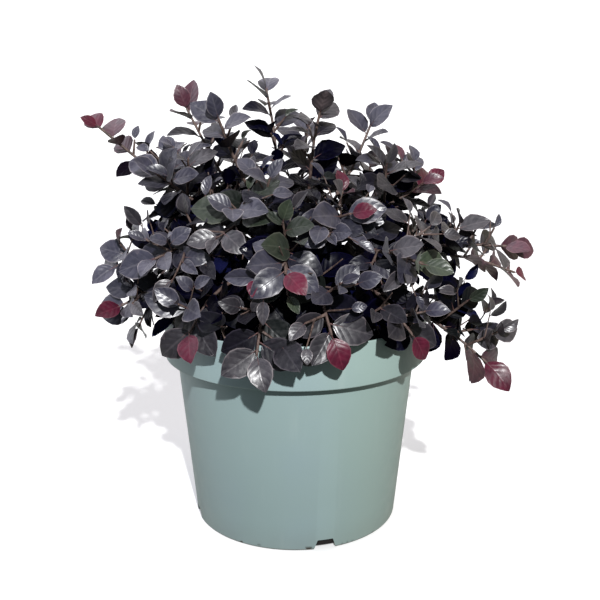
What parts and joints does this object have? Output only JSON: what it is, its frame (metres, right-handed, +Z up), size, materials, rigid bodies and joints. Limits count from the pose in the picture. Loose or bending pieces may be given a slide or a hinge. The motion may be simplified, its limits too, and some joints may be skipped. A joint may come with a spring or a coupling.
{
  "type": "potted chinese fringe flower shrub",
  "caption": "Low, spreading evergreen shrub with plum-purple leaves, built together with its round pale green plastic nursery pot.",
  "frame": {"origin": "middle of the pot's flat underside", "axes": "+Z up along the pot's axis, -Y to the front that the picture shows, +X to the picture's right"},
  "size_m": [0.4195, 0.3502, 0.4251],
  "materials": {
    "sage_plastic": "satin pale grey-green moulded plastic",
    "potting_mix": "dark moist bark and peat",
    "bark": "rough brown bark",
    "plum_leaf": "satin plum-grey leaves, crimson at the tips"
  },
  "bodies": {
    "root": {"pot": "sage_plastic", "potting_mix": "potting_mix", "trunk": "bark", "bough_back_left": "bark", "bough_back_left_low": "bark", "bough_back_low": "bark", "bough_back_right": "bark", "bough_back_right_low": "bark", "bough_back_top": "bark", "bough_far_left": "bark", "bough_front": "bark", "bough_front_left_low": "bark", "bough_front_low": "bark", "bough_front_middle": "bark", "bough_front_right_low": "bark", "bough_front_upper_left": "bark", "bough_front_upper_right": "bark", "bough_left_front": "bark", "bough_left_low": "bark", "bough_left_middle": "bark", "bough_left_shoulder": "bark", "bough_left_upper": "bark", "bough_left_wand": "bark", "bough_right_front": "bark", "bough_right_long": "bark", "bough_right_low": "bark", "bough_right_middle": "bark", "bough_right_shoulder": "bark", "bough_right_wand": "bark", "bough_upper_left_wand": "bark", "bough_upper_right": "bark", "foliage_back_left": "plum_leaf", "foliage_back_left_low": "plum_leaf", "foliage_back_low": "plum_leaf", "foliage_back_right": "plum_leaf", "foliage_back_right_low": "plum_leaf", "foliage_back_top": "plum_leaf", "foliage_far_left": "plum_leaf", "foliage_front": "plum_leaf", "foliage_front_left_low": "plum_leaf", "foliage_front_low": "plum_leaf", "foliage_front_middle": "plum_leaf", "foliage_front_right_low": "plum_leaf", "foliage_front_upper_left": "plum_leaf", "foliage_front_upper_right": "plum_leaf", "foliage_leader": "plum_leaf", "foliage_left_front": "plum_leaf", "foliage_left_low": "plum_leaf", "foliage_left_middle": "plum_leaf", "foliage_left_shoulder": "plum_leaf", "foliage_left_upper": "plum_leaf", "foliage_left_wand": "plum_leaf", "foliage_right_front": "plum_leaf", "foliage_right_long": "plum_leaf", "foliage_right_low": "plum_leaf", "foliage_right_middle": "plum_leaf", "foliage_right_shoulder": "plum_leaf", "foliage_right_wand": "plum_leaf", "foliage_upper_left_wand": "plum_leaf", "foliage_upper_right": "plum_leaf"}
  },
  "joints": []
}
